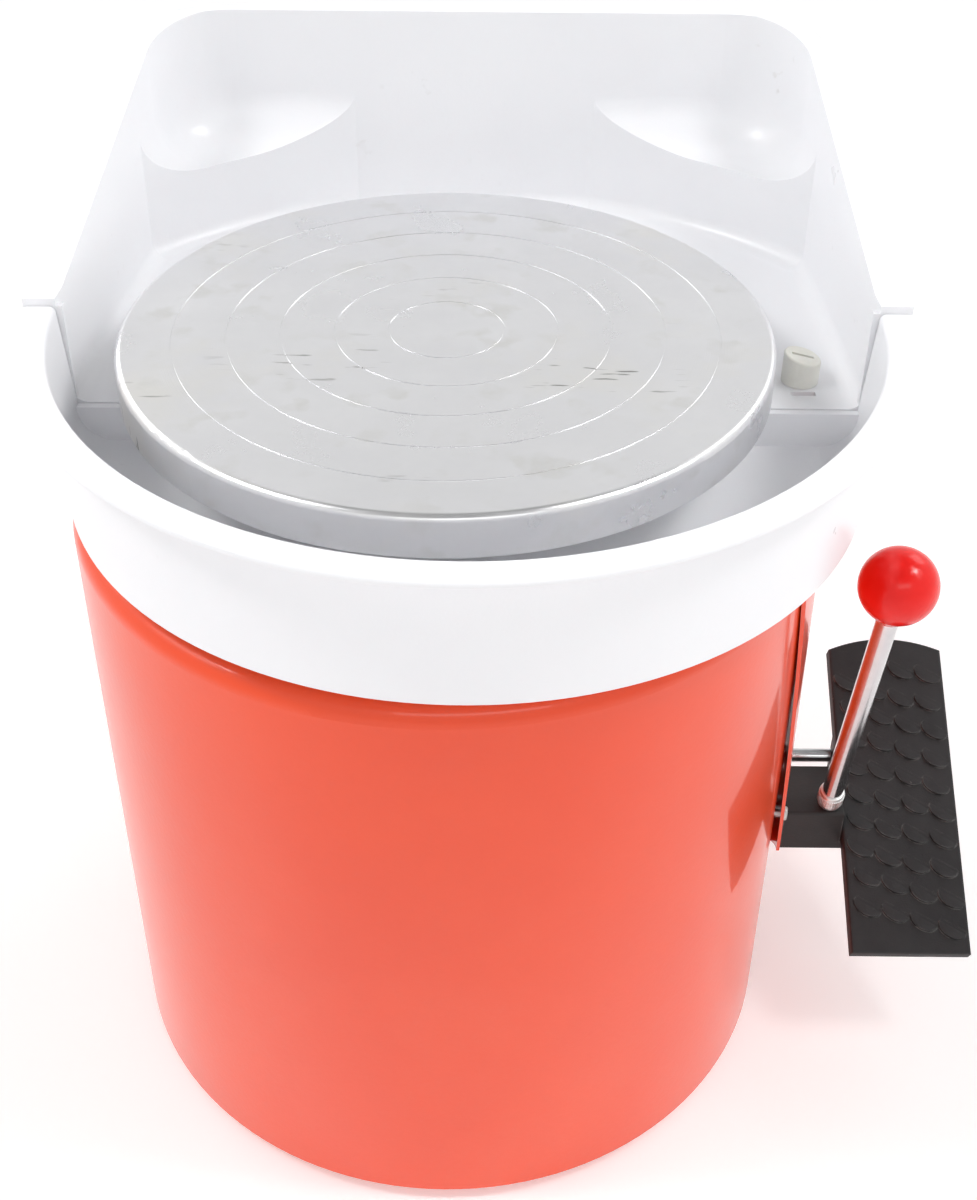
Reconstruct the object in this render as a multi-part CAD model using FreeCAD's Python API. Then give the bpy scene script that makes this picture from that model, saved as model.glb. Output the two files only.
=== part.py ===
import FreeCAD, Part
import math
import os

# Tabletop pottery wheel. Millimetres, +Z up, origin on the wheel's axis at the surface it stands on.
# The potter sits at -Y, the foot pedal and hand lever are at +X, the tall splash wall is at +Y.

# Wheel head
head_radius = 125.0
head_thickness = 17.3
head_top = 346.0
head_edge_round = 2.5
groove_first_radius = 22.0
groove_pitch = 20.5
groove_count = 5
groove_width = 0.7
groove_depth = 0.35

# Drum
drum_radius = 149.5
drum_bottom = 6.0
deck_top = 284.0
sheet = 1.5
shoulder_round = 8.0
shell_flange = 12.0
shell_gap = 0.5
deck_thickness = 3.0
base_thickness = 3.0
ring_outer_radius = 134.0
ring_inner_radius = 116.0
column_radius = 8.0
column_circle = 125.0
column_angles = (45.0, 135.0, 225.0, 315.0)

# Splash basin
basin_shift = 8.0
basin_radius = 160.0
basin_wall = 3.5
basin_bottom = 292.0
basin_draft = 3.5
rim_top = 353.0
rim_overhang = 9.0
rim_height = 3.4
rim_top_round = 1.6
rim_under_round = 1.0
rim_inner_round = 2.5
rear_rim_share = 0.45
basin_foot_round = 1.5
rear_rim_step = 3.0
front_floor = 295.5
rear_floor = 311.0
seam_y = 2.0
seam_gap = 0.5
hub_wall_radius = 46.0
hub_wall_top = 316.0
rear_depth = 190.0
rear_back_half_width = 146.0
rear_back_shift = 3.0
rear_back_height = 406.0
rear_corner_radius = 38.0
well_radius = 194.5
shelf_height = 344.0
shelf_fillet = 22.0
floor_fillet = 7.0
end_wall_drop = 0.5

# Rubber seat under the basin
seat_radius = 94.0
seat_width = 12.0

# Latches
latch_reach = 134.0
latch_y = 24.0
latch_radius = 7.5
latch_height = 14.0
latch_stem_radius = 3.5
latch_tongue = 18.0
latch_drop = 8.0
catch_gap = 1.0

# Drive
shaft_radius = 10.0
bearing_outer_radius = 23.5
bearing_width = 14.0
housing_wall = 7.5
housing_length = 100.0
housing_flange = 8.0
hub_radius = 32.0
hub_thickness = 10.0
hub_neck_radius = 18.0
hub_screw_radius = 2.5
hub_screw_circle = 25.0
hub_screw_bite = 10.0
hub_screw_angles = (0.0, 120.0, 240.0)
spigot_radius = 14.0
spigot_height = 4.0
collar_radius = 13.5
collar_top = 302.0
nut_height = 10.0
nut_half_flat = 15.0
large_pulley_radius = 80.0
small_pulley_radius = 16.0
pulley_width = 18.0
pulley_bottom = 132.0
motor_radius = 38.0
motor_length = 88.0
motor_shaft_radius = 4.0
belt_thickness = 2.2
pulley_gap = 3.0
running_gap = 0.3
shaft_fit = 0.05

# Pedal and lever
pivot_y = 9.5
pivot_z = 84.0
pedal_shaft_radius = 6.0
arm_depth = 33.0
arm_height = 24.0
arm_gap = 7.5
arm_length = 75.0
pedal_gap = 36.0
pedal_width = 55.0
pedal_front = 72.0
pedal_back = 84.0
pedal_tilt = 29.0
pedal_plate_thickness = 3.0
plate_screw_inset = 12.5
plate_screw_pitch_x = 24.0
plate_screw_pitch_y = 20.0
plate_screw_radius = 2.0
plate_screw_head = 3.6
tread_thickness = 5.0
tread_above_pivot = 10.3
pedal_arch = 6.0
steady_rod_radius = 3.5
steady_rod_y = 36.0
steady_rod_z = 93.0
lever_gap = 29.0
lever_y = 0.0
lever_lean = 14.5
lever_length = 152.0
lever_radius = 4.8
knob_radius = 16.0
pedal_travel = 26.0

lever_socket = 10.0
knob_height = 166.0
lever_collar_radius = 6.6
lever_collar_length = 10.0
bracket_left = 104.0
bracket_right = 134.0
bracket_sheet = 3.0

# Side cover
cover_top_gap = 1.9
cover_bottom_gap = 5.1
cover_bottom = 72.0
cover_front_foot = 98.0
cover_front = -33.0
cover_back = 62.0

# Switch panel
panel_half_width = 46.0
panel_bottom = 60.0
panel_top = 118.0
panel_face = 152.0
inlet_x = -27.0
fuse_x = -2.0
power_x = 16.0
direction_x = 35.0
switch_half_x = 7.0
switch_half_z = 11.0
rocker_radius = 8.0

UP = FreeCAD.Vector(0, 0, 1)
ALONG_X = FreeCAD.Vector(1, 0, 0)
ALONG_Y = FreeCAD.Vector(0, 1, 0)
ORIGIN = FreeCAD.Vector(0, 0, 0)
PIVOT = FreeCAD.Vector(0, pivot_y, pivot_z)
BIG = 600.0

shell_inner = drum_radius - sheet
arm_start = drum_radius + arm_gap
arm_reach = arm_start + arm_length
pedal_left = drum_radius + pedal_gap
lever_x = drum_radius + lever_gap
cover_top_radius = drum_radius + cover_top_gap
cover_bottom_radius = drum_radius + cover_bottom_gap
motor_offset = large_pulley_radius + small_pulley_radius + pulley_gap
base_top = drum_bottom + sheet + base_thickness
deck_bottom = deck_top - sheet - deck_thickness
head_bottom = head_top - head_thickness
hub_bottom = head_bottom - hub_thickness
housing_top = deck_bottom
housing_bottom = housing_top - housing_length
upper_bearing_z = housing_top - 5.0 - bearing_width
lower_bearing_z = housing_bottom + 10.0
pulley_top = pulley_bottom + pulley_width
motor_plate_bottom = pulley_top + 8.0
motor_plate_top = motor_plate_bottom + 4.0
shaft_top = head_bottom - 2.0
shaft_bottom = pulley_bottom - nut_height - 6.0
panel_mid = 0.5 * (panel_bottom + panel_top)
plate_bottom = tread_above_pivot - tread_thickness - pedal_plate_thickness
tread_bottom = tread_above_pivot - tread_thickness

parts = {}


def vec(x, y, z):
    return FreeCAD.Vector(x, y, z)


def box(x0, x1, y0, y1, z0, z1):
    return Part.makeBox(x1 - x0, y1 - y0, z1 - z0, vec(x0, y0, z0))


def rod(radius, start, direction, length):
    return Part.makeCylinder(radius, length, start, direction)


def disc(radius, z0, z1, x=0.0, y=0.0):
    return rod(radius, vec(x, y, z0), UP, z1 - z0)


def ring(outer, inner, z0, z1, x=0.0, y=0.0):
    return disc(outer, z0, z1, x, y).cut(disc(inner, z0 - 1.0, z1 + 1.0, x, y))


def polygon(points):
    return Part.Face(Part.makePolygon([vec(*p) for p in points] + [vec(*points[0])]))


def turned(profile, x=0.0, y=0.0):
    """A solid of revolution about the vertical line through x, y from (radius, height) points."""
    face = polygon([(r, 0.0, z) for r, z in profile])
    solid = face.revolve(ORIGIN, UP, 360.0)
    solid.translate(vec(x, y, 0.0))
    return solid


def around(solid, angles, centre=ORIGIN, axis=UP):
    """Copies of a solid turned to each angle."""
    copies = []
    for angle in angles:
        copy = solid.copy()
        copy.rotate(centre, axis, angle)
        copies.append(copy)
    return copies


def circle_edges(solid, radius, height):
    """The circular edges of a radius that lie at a height."""
    found = []
    for edge in solid.Edges:
        level = abs(edge.BoundBox.ZMin - height) < 1e-4 and abs(edge.BoundBox.ZMax - height) < 1e-4
        if level and hasattr(edge.Curve, "Radius") and abs(edge.Curve.Radius - radius) < 1e-4:
            found.append(edge)
    return found


def level_edges(solid, height, keep):
    """The edges that lie at a height and whose middle point passes a test."""
    found = []
    for edge in solid.Edges:
        level = abs(edge.BoundBox.ZMin - height) < 1e-4 and abs(edge.BoundBox.ZMax - height) < 1e-4
        middle = edge.valueAt(0.5 * (edge.FirstParameter + edge.LastParameter))
        if level and keep(middle):
            found.append(edge)
    return found


def screw(x, y, seat, head_radius_mm, head_height, stem_radius, stem_length):
    """A vertical pan-head screw with its head on a seat and a cross recess."""
    head = disc(head_radius_mm, seat, seat + head_height, x, y)
    head = head.makeFillet(head_height * 0.45, circle_edges(head, head_radius_mm, seat + head_height))
    slot = head_radius_mm * 0.6
    recess = box(x - slot, x + slot, y - 0.5, y + 0.5, seat + head_height * 0.5, seat + head_height + 1.0)
    cross = box(x - 0.5, x + 0.5, y - slot, y + slot, seat + head_height * 0.5, seat + head_height + 1.0)
    stem = disc(stem_radius, seat - stem_length, seat, x, y)
    return head.fuse(stem).cut(recess).cut(cross)


def drilled(solids, fasteners):
    """Cuts the seats of fasteners out of one solid or a list of solids."""
    tools = fasteners if isinstance(fasteners, list) else [fasteners]
    if isinstance(solids, list):
        return [drilled(solid, tools) for solid in solids]
    for tool in tools:
        solids = solids.cut(tool)
    return solids


def add(name, shapes):
    """Keeps a node made of one solid or a list of like solids."""
    items = shapes if isinstance(shapes, list) else [shapes]
    solids = []
    for item in items:
        solids.extend(item.Solids)
    parts[name] = solids[0] if len(solids) == 1 else Part.makeCompound(solids)


def save_all():
    os.makedirs("parts", exist_ok=True)
    for name, shape in parts.items():
        shape.exportStep("parts/" + name + ".step")


# ---------------------------------------------------------------- wheel head and its shaft


def wheel_head():
    """Turned aluminium plate with five fine centring grooves and a spigot bore underneath."""
    plate = disc(head_radius, head_bottom, head_top)
    plate = plate.makeFillet(head_edge_round, circle_edges(plate, head_radius, head_top))
    plate = plate.makeChamfer(1.0, circle_edges(plate, head_radius, head_bottom))
    for index in range(groove_count):
        radius = groove_first_radius + groove_pitch * index
        groove = ring(radius + groove_width / 2, radius - groove_width / 2,
                      head_top - groove_depth, head_top + 1.0)
        plate = plate.cut(groove)
    spigot = disc(spigot_radius + shaft_fit, head_bottom - 1.0, head_bottom + spigot_height + 0.2)
    plate = plate.cut(spigot)
    for hole in around(disc(hub_screw_radius, head_bottom - 1.0, head_bottom + hub_screw_bite,
                            hub_screw_circle, 0.0), hub_screw_angles):
        plate = plate.cut(hole)
    return plate


def wheel_hub():
    """Drive flange that carries the head, with three screw holes and a bore for the shaft."""
    profile = [(0.0, collar_top), (hub_neck_radius, collar_top), (hub_neck_radius, hub_bottom),
               (hub_radius, hub_bottom), (hub_radius, head_bottom), (spigot_radius, head_bottom),
               (spigot_radius, head_bottom + spigot_height), (0.0, head_bottom + spigot_height)]
    hub = turned(profile).cut(disc(shaft_radius, collar_top - 1.0, shaft_top))
    hole = disc(hub_screw_radius, hub_bottom - 1.0, head_bottom + 1.0, hub_screw_circle, 0.0)
    for turned_hole in around(hole, hub_screw_angles):
        hub = hub.cut(turned_hole)
    return hub


def hub_screws():
    """Three screws that hold the head from below, heads under the flange."""
    head = disc(4.5, hub_bottom - 4.0, hub_bottom, hub_screw_circle, 0.0)
    socket = disc(2.2, hub_bottom - 4.5, hub_bottom - 2.0, hub_screw_circle, 0.0)
    stem = disc(hub_screw_radius, hub_bottom, head_bottom + hub_screw_bite, hub_screw_circle, 0.0)
    return around(head.cut(socket).fuse(stem), hub_screw_angles)


def wheel_shaft():
    """Steel spindle with the collar that the hub and the upper bearing sit against."""
    collar_bottom = upper_bearing_z + bearing_width
    profile = [(0.0, shaft_bottom), (shaft_radius - 1.0, shaft_bottom), (shaft_radius, shaft_bottom + 1.0),
               (shaft_radius, collar_bottom), (collar_radius, collar_bottom),
               (collar_radius, collar_top), (shaft_radius, collar_top),
               (shaft_radius, shaft_top), (0.0, shaft_top)]
    return turned(profile)


def bearing_inner(z0):
    return ring(14.5, shaft_radius, z0, z0 + bearing_width)


def bearing_outer(z0):
    """Outer race with its two shields, clear of the inner race."""
    race = ring(bearing_outer_radius, 19.5, z0, z0 + bearing_width)
    shield = ring(19.5, 15.0, z0 + 0.6, z0 + 1.4)
    other = ring(19.5, 15.0, z0 + bearing_width - 1.4, z0 + bearing_width - 0.6)
    return race.fuse(shield).fuse(other)


def ribbed_pulley(radius, z0, z1, bore):
    """Poly-V pulley blank with its V grooves."""
    pulley = ring(radius, bore, z0, z1)
    pitch = 3.0
    count = int((z1 - z0 - 4.0) // pitch)
    first = 0.5 * (z0 + z1) - 0.5 * pitch * (count - 1)
    for index in range(count):
        centre = first + pitch * index
        groove = turned([(radius + 1.0, centre - 1.6), (radius + 1.0, centre + 1.6), (radius - 2.0, centre)])
        pulley = pulley.cut(groove)
    return pulley


def large_pulley():
    """Driven pulley: grooved rim, thin web with round windows and a long hub."""
    rim = ribbed_pulley(large_pulley_radius, pulley_bottom, pulley_top, large_pulley_radius - 8.0)
    web = ring(large_pulley_radius - 8.0, shaft_radius, pulley_bottom + 6.0, pulley_bottom + 11.0)
    hub = ring(20.0, shaft_radius, pulley_bottom - 2.0, lower_bearing_z)
    pulley = rim.fuse(web).fuse(hub)
    window = disc(11.0, pulley_bottom, pulley_top, 0.6 * large_pulley_radius, 0.0)
    for hole in around(window, [60.0 * i for i in range(6)]):
        pulley = pulley.cut(hole)
    return pulley


def shaft_nut():
    """Hexagon nut that holds the large pulley on the shaft."""
    corner = nut_half_flat / math.cos(math.radians(30))
    points = [(corner * math.cos(math.radians(60 * i)),
               corner * math.sin(math.radians(60 * i)),
               pulley_bottom - 2.0 - nut_height) for i in range(6)]
    return polygon(points).extrude(vec(0, 0, nut_height)).cut(disc(shaft_radius, shaft_bottom, pulley_bottom))


def spacer_sleeve():
    return ring(14.0, shaft_radius, lower_bearing_z + bearing_width, upper_bearing_z)


# ---------------------------------------------------------------- drum and base

def base_ring():
    """Moulded rubber ring that the machine stands on, stepped where it fits inside the base flange."""
    return ring(ring_outer_radius, ring_inner_radius, 0.0, drum_bottom + sheet)


def base_plate():
    """Round steel plate with a row of air slots."""
    plate = disc(shell_inner - running_gap, drum_bottom + sheet, base_top)
    slot = box(40.0, 90.0, -3.0, 3.0, 0.0, base_top + 1.0)
    for cut in around(slot, [30.0 * i + 15.0 for i in range(12)]):
        plate = plate.cut(cut)
    return plate


def base_ring_screws():
    angles = [60.0 * i + 30.0 for i in range(6)]
    x = 0.5 * (ring_outer_radius + ring_inner_radius)
    return around(screw(x, 0.0, base_top, 4.0, 2.5, 2.0, base_thickness + 4.0), angles)


def columns():
    """Four tubes that carry the deck on the base plate."""
    column = ring(column_radius, 3.0, base_top, deck_bottom, column_circle, 0.0)
    return around(column, column_angles)


def shell_ring():
    """Rolled sheet drum with its inward base flange and rounded shoulder."""
    outer = disc(drum_radius, drum_bottom, deck_top)
    outer = outer.makeFillet(shoulder_round, circle_edges(outer, drum_radius, deck_top))
    outer = outer.makeFillet(1.2, circle_edges(outer, drum_radius, drum_bottom))
    inner = disc(shell_inner, drum_bottom + sheet, deck_top - sheet)
    inner = inner.makeFillet(shoulder_round - sheet, circle_edges(inner, shell_inner, deck_top - sheet))
    opening = disc(drum_radius - shell_flange, drum_bottom - 1.0, deck_top + 1.0)
    return outer.cut(inner).cut(opening)


def side_openings(outer_x):
    """The pedal shaft's hole and the curved slot that the steady rod swings in."""
    start = vec(100.0, pivot_y, pivot_z)
    length = outer_x - 100.0
    cut = rod(pedal_shaft_radius + 2.0, start, ALONG_X, length)
    reach_y = steady_rod_y - pivot_y
    reach_z = steady_rod_z - pivot_z
    reach = math.hypot(reach_y, reach_z)
    rest = math.degrees(math.atan2(reach_z, reach_y))
    half = steady_rod_radius + 1.5
    swept = rod(reach + half, start, ALONG_X, length).cut(rod(reach - half, start, ALONG_X, length))
    low = math.radians(rest - pedal_travel)
    high = math.radians(rest)
    mid = math.radians(rest - pedal_travel / 2)
    far = 2.0 * (reach + half)
    fan = polygon([(start.x, pivot_y, pivot_z),
                   (start.x, pivot_y + far * math.cos(low), pivot_z + far * math.sin(low)),
                   (start.x, pivot_y + far * math.cos(mid), pivot_z + far * math.sin(mid)),
                   (start.x, pivot_y + far * math.cos(high), pivot_z + far * math.sin(high))])
    slot = swept.common(fan.extrude(vec(length, 0, 0)))
    for angle in (low, high):
        end = vec(start.x, pivot_y + reach * math.cos(angle), pivot_z + reach * math.sin(angle))
        slot = slot.fuse(rod(half, end, ALONG_X, length))
    return cut.fuse(slot)


def drum_front_shell():
    return shell_ring().cut(box(-BIG, BIG, -shell_gap / 2, BIG, -BIG, BIG))


def drum_rear_shell():
    """Rear half of the drum with its louvres and the openings for the pedal and the switch panel."""
    shell = shell_ring().cut(box(-BIG, BIG, -BIG, shell_gap / 2, -BIG, BIG))
    shell = shell.cut(side_openings(drum_radius + 20.0))
    shell = shell.cut(box(-panel_half_width, panel_half_width, 100.0, BIG, panel_bottom, panel_top))
    for side in (-1.0, 1.0):
        for row in range(7):
            z0 = 160.0 + 10.0 * row
            louvre = box(-22.0, 22.0, 120.0, 170.0, z0, z0 + 4.0)
            louvre.rotate(ORIGIN, UP, 32.0 * side)
            shell = shell.cut(louvre)
    return shell


def seam_strips():
    """Two inner strips that join the shell halves along their edges."""
    strip = ring(shell_inner, shell_inner - 2.0, base_top, deck_bottom - shoulder_round)
    wedge = box(100.0, 200.0, -11.0, 11.0, base_top, deck_bottom)
    right = strip.common(wedge)
    right = right.cut(side_openings(200.0))
    left = strip.common(box(-200.0, -100.0, -11.0, 11.0, base_top, deck_bottom))
    return [left, right]


def radial_rivet(angle, z, seat):
    """Low domed rivet head on a curved wall, with its shank through the sheet."""
    head = rod(3.2, vec(seat, 0, z), ALONG_X, 1.6)
    rim = [e for e in head.Edges if abs(e.BoundBox.XMin - seat - 1.6) < 1e-4 and len(e.Vertexes) == 1]
    head = head.makeFillet(1.0, rim)
    body = head.fuse(rod(1.5, vec(shell_inner - 2.0, 0, z), ALONG_X, seat - shell_inner + 2.0))
    body.rotate(ORIGIN, UP, angle)
    return body


def seam_rivets():
    """Rivets along the left seam, one row into each shell half."""
    rivets = []
    for z in (40.0, 100.0, 160.0, 220.0):
        for angle in (177.6, 182.4):
            rivets.append(radial_rivet(angle, z, drum_radius))
    return rivets


def deck_plate():
    """Top plate under the shell's flange, bored for the bearing housing."""
    plate = disc(shell_inner - shoulder_round + sheet - running_gap, deck_bottom, deck_top - sheet)
    return plate.cut(disc(bearing_outer_radius + housing_wall - 5.0 + shaft_fit, 0.0, BIG))


def deck_screws():
    return around(screw(column_circle, 0.0, deck_top - sheet, 5.0, 3.0, 3.0, deck_thickness + 12.0), column_angles)


def basin_seat():
    """Rubber ring on the deck that both basin halves rest on."""
    return ring(seat_radius + seat_width / 2, seat_radius - seat_width / 2, deck_top - sheet,
                basin_bottom, basin_shift)


def latch_catches():
    """Hooked posts on the deck that the latch tongues turn under."""
    catches = []
    tongue_top = rear_floor - basin_wall - latch_drop
    for x in latch_centres():
        inward = -math.copysign(1.0, x)
        tip = x + inward * (latch_tongue + catch_gap)
        far = tip + inward * 5.0
        post = box(min(tip, far), max(tip, far), latch_y - 6.0, latch_y + 6.0,
                   deck_top - sheet, tongue_top + 3.0)
        near = x + inward * (latch_tongue - 6.0)
        hook = box(min(near, far), max(near, far), latch_y - 6.0, latch_y + 6.0,
                   tongue_top + catch_gap, tongue_top + 3.0)
        catches.append(post.fuse(hook).removeSplitter())
    return catches


def side_cover():
    """Raised sheet cover over the pedal linkage, flush at the top and standing off at its foot."""
    outer = [(cover_top_radius, deck_top - shoulder_round), (cover_bottom_radius, cover_bottom)]
    inner = [(cover_bottom_radius - sheet, cover_bottom + sheet),
             (cover_top_radius - sheet, deck_top - shoulder_round)]
    foot = [(drum_radius + 0.02, cover_bottom), (drum_radius + 0.02, cover_bottom + sheet)]
    skin = turned(outer + foot + inner)
    side = polygon([(100.0, 2.0 * cover_front, deck_top), (100.0, cover_front, cover_front_foot),
                    (100.0, 0.0, cover_bottom - 1.0), (100.0, cover_back, cover_bottom - 1.0),
                    (100.0, cover_back, deck_top)])
    cover = skin.common(side.extrude(vec(100.0, 0, 0)))
    cover = cover.cut(disc(drum_radius + 0.02, 0.0, BIG))
    return cover.cut(side_openings(200.0))


def cover_rivets():
    """Rivets through the side cover near its corners."""
    rivets = []
    for y, z in ((cover_front + 6.0, 116.0), (cover_back - 10.0, 84.0), (cover_back - 10.0, 250.0)):
        share = (z - cover_bottom) / (deck_top - shoulder_round - cover_bottom)
        seat = cover_bottom_radius + share * (cover_top_radius - cover_bottom_radius) - 0.1
        rivets.append(radial_rivet(math.degrees(math.asin(y / seat)), z, seat))
    return rivets


# ---------------------------------------------------------------- bearing housing and motor


def bearing_housing():
    """Cast tube with a bolted flange, counterbored for a bearing at each end."""
    tube_radius = bearing_outer_radius + housing_wall
    spigot = tube_radius - 5.0
    profile = [(0.0, housing_bottom), (tube_radius, housing_bottom),
               (tube_radius, housing_top - housing_flange), (50.0, housing_top - housing_flange),
               (50.0, housing_top), (spigot, housing_top), (spigot, deck_top - sheet + 2.0),
               (0.0, deck_top - sheet + 2.0)]
    body = turned(profile).cut(disc(18.5, 0.0, BIG))
    body = body.cut(disc(bearing_outer_radius, upper_bearing_z, BIG))
    body = body.cut(disc(bearing_outer_radius, 0.0, lower_bearing_z + bearing_width))
    for index in range(6):
        rib = box(tube_radius - 1.0, 47.0, -2.0, 2.0, housing_top - 40.0, housing_top - housing_flange)
        slope = polygon([(tube_radius, -3.0, housing_top - 41.0), (60.0, -3.0, housing_top - 41.0),
                         (60.0, -3.0, housing_top - housing_flange)]).extrude(vec(0, 6.0, 0))
        rib = rib.cut(slope)
        rib.rotate(ORIGIN, UP, 60.0 * index)
        body = body.fuse(rib)
    return body


def housing_screws():
    return around(screw(42.0, 0.0, deck_top - sheet, 4.5, 2.5, 2.5, deck_thickness + housing_flange),
                  [90.0 * i + 30.0 for i in range(4)])


def shaft_seal():
    """Rubber lip ring over the upper bearing that keeps slip out of the housing."""
    z0 = deck_top - sheet + 2.0
    profile = [(collar_radius + 0.4, z0), (25.0, z0), (25.0, z0 + 3.0), (18.0, z0 + 7.0),
               (collar_radius + 0.4, z0 + 7.0)]
    return turned(profile)


def motor_can():
    """Steel motor can with a rounded top and a boss for its rear bearing."""
    z1 = motor_plate_top + motor_length
    can = disc(motor_radius, motor_plate_top, z1, -motor_offset, 0.0)
    can = can.makeFillet(4.0, circle_edges(can, motor_radius, z1))
    boss = disc(11.0, z1, z1 + 5.0, -motor_offset, 0.0)
    bore = disc(motor_shaft_radius + 2.0, motor_plate_top - 1.0, motor_plate_top + 12.0, -motor_offset, 0.0)
    return can.fuse(boss).cut(bore)


def motor_plate():
    """Round mounting plate under the motor with four stud holes."""
    plate = disc(46.0, motor_plate_bottom, motor_plate_top, -motor_offset, 0.0)
    return plate.cut(disc(motor_shaft_radius + 4.0, 0.0, BIG, -motor_offset, 0.0))


def motor_studs():
    """Four studs that hang the motor plate from the deck."""
    stud = disc(3.0, motor_plate_top, deck_bottom, -motor_offset + 42.3, 0.0)
    return around(stud, [90.0 * i + 45.0 for i in range(4)], vec(-motor_offset, 0, 0))


def motor_shaft():
    return disc(motor_shaft_radius, pulley_bottom - 4.0, motor_plate_top + 10.0, -motor_offset, 0.0)


def small_pulley():
    """Driving pulley with a flange above and below the belt."""
    pulley = ribbed_pulley(small_pulley_radius, pulley_bottom, pulley_top, motor_shaft_radius)
    low = ring(small_pulley_radius + 3.0, motor_shaft_radius, pulley_bottom - 2.0, pulley_bottom)
    high = ring(small_pulley_radius + 3.0, motor_shaft_radius, pulley_top, pulley_top + 2.0)
    pulley = pulley.fuse(low).fuse(high)
    pulley.translate(vec(-motor_offset, 0, 0))
    return pulley


def belt_loop(grow, z0, z1):
    """The filled outline of a belt round both pulleys, stood off by a margin."""
    big = large_pulley_radius + grow
    small = small_pulley_radius + grow
    lean = math.asin((big - small) / motor_offset)
    contacts = [vec(-big * math.sin(lean), big * math.cos(lean), z0),
                vec(-motor_offset - small * math.sin(lean), small * math.cos(lean), z0)]
    mirrored = [vec(p.x, -p.y, z0) for p in contacts]
    edges = [Part.LineSegment(contacts[0], contacts[1]).toShape(),
             Part.Arc(contacts[1], vec(-motor_offset - small, 0, z0), mirrored[1]).toShape(),
             Part.LineSegment(mirrored[1], mirrored[0]).toShape(),
             Part.Arc(mirrored[0], vec(big, 0, z0), contacts[0]).toShape()]
    return Part.Face(Part.Wire(edges)).extrude(vec(0, 0, z1 - z0))


def drive_belt():
    outer = belt_loop(running_gap + belt_thickness, pulley_bottom + 2.0, pulley_top - 2.0)
    return outer.cut(belt_loop(running_gap, pulley_bottom, pulley_top))


def speed_controller():
    """Finned aluminium case of the motor's speed control."""
    case = box(-70.0, 20.0, -118.0, -66.0, base_top, base_top + 32.0)
    for index in range(9):
        x0 = -66.0 + 9.5 * index
        case = case.cut(box(x0, x0 + 5.0, -119.0, -65.0, base_top + 24.0, base_top + 33.0))
    return case


def controller_screws():
    screws = []
    for x in (-74.0, 24.0):
        screws.append(screw(x, -92.0, base_top + 2.0, 3.5, 2.0, 1.8, 2.0 + base_thickness))
    return screws


def controller_feet():
    feet = []
    for x0, x1 in ((-80.0, -70.0), (20.0, 30.0)):
        foot = box(x0, x1, -102.0, -82.0, base_top, base_top + 2.0)
        feet.append(foot)
    return feet


# ---------------------------------------------------------------- switch panel


def switch_panel():
    """Flat moulded panel let into the back of the drum, with openings for the fittings."""
    tray = box(-panel_half_width, panel_half_width, 128.0, panel_face, panel_bottom, panel_top)
    tray = tray.cut(box(-panel_half_width + 2.5, panel_half_width - 2.5, 120.0, panel_face - 3.0,
                        panel_bottom + 2.5, panel_top - 2.5))
    for x, half_x, half_z in panel_fittings():
        tray = tray.cut(box(x - half_x, x + half_x, 100.0, BIG, panel_mid - half_z, panel_mid + half_z))
    return tray.cut(rod(6.0, vec(fuse_x, 100.0, panel_mid), ALONG_Y, 100.0))


def panel_fittings():
    """Centre, half width and half height of each square opening."""
    return ((inlet_x, 13.5, 10.0), (power_x, switch_half_x, switch_half_z),
            (direction_x, switch_half_x, switch_half_z))


def power_inlet():
    """Three-pin mains inlet with its recess and blades."""
    body = box(inlet_x - 13.5, inlet_x + 13.5, 126.0, panel_face, panel_mid - 10.0, panel_mid + 10.0)
    flange = box(inlet_x - 15.5, inlet_x + 15.5, panel_face, panel_face + 2.0, panel_mid - 13.0, panel_mid + 13.0)
    recess = box(inlet_x - 11.0, inlet_x + 11.0, 134.0, BIG, panel_mid - 7.5, panel_mid + 7.5)
    inlet = body.fuse(flange).cut(recess)
    for x, z in ((-6.0, -1.5), (0.0, 2.5), (6.0, -1.5)):
        blade = box(inlet_x + x - 1.0, inlet_x + x + 1.0, 133.0, 148.0, panel_mid + z - 2.0, panel_mid + z + 2.0)
        inlet = inlet.fuse(blade)
    return inlet


def fuse_holder():
    body = rod(6.0, vec(fuse_x, 128.0, panel_mid), ALONG_Y, panel_face - 128.0)
    cap = rod(7.5, vec(fuse_x, panel_face, panel_mid), ALONG_Y, 5.0)
    slot = box(fuse_x - 5.0, fuse_x + 5.0, panel_face + 3.5, panel_face + 6.0, panel_mid - 0.8, panel_mid + 0.8)
    return body.fuse(cap).cut(slot)


def switch_frame(x):
    """Housing and bezel of a rocker switch, hollow where the rocker swings."""
    body = box(x - switch_half_x, x + switch_half_x, 128.0, panel_face,
               panel_mid - switch_half_z, panel_mid + switch_half_z)
    bezel = box(x - switch_half_x - 1.5, x + switch_half_x + 1.5, panel_face, panel_face + 1.5,
                panel_mid - switch_half_z - 1.5, panel_mid + switch_half_z + 1.5)
    hollow = box(x - switch_half_x + 1.5, x + switch_half_x - 1.5, panel_face - 12.0, BIG,
                 panel_mid - rocker_radius - 1.0, panel_mid + rocker_radius + 1.0)
    return body.fuse(bezel).cut(hollow)


def rocker(x):
    """Rocker with two sloping faces, made to swing about the switch's inner pivot."""
    half = switch_half_x - 1.5 - running_gap
    centre_y = panel_face - 2.0
    barrel = rod(rocker_radius, vec(x - half, centre_y, panel_mid), ALONG_X, 2 * half)
    slab = box(x - half, x + half, centre_y - 4.0, centre_y + 5.0, panel_mid - 9.0, panel_mid + 9.0)
    body = barrel.common(slab)
    valley = polygon([(x - half - 1.0, centre_y + 3.2, panel_mid), (x - half - 1.0, centre_y + 6.0, panel_mid - 9.0),
                      (x - half - 1.0, centre_y + 9.0, panel_mid), (x - half - 1.0, centre_y + 6.0, panel_mid + 9.0)])
    return body.cut(valley.extrude(vec(2 * half + 2.0, 0, 0)))


# ---------------------------------------------------------------- splash basin


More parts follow.
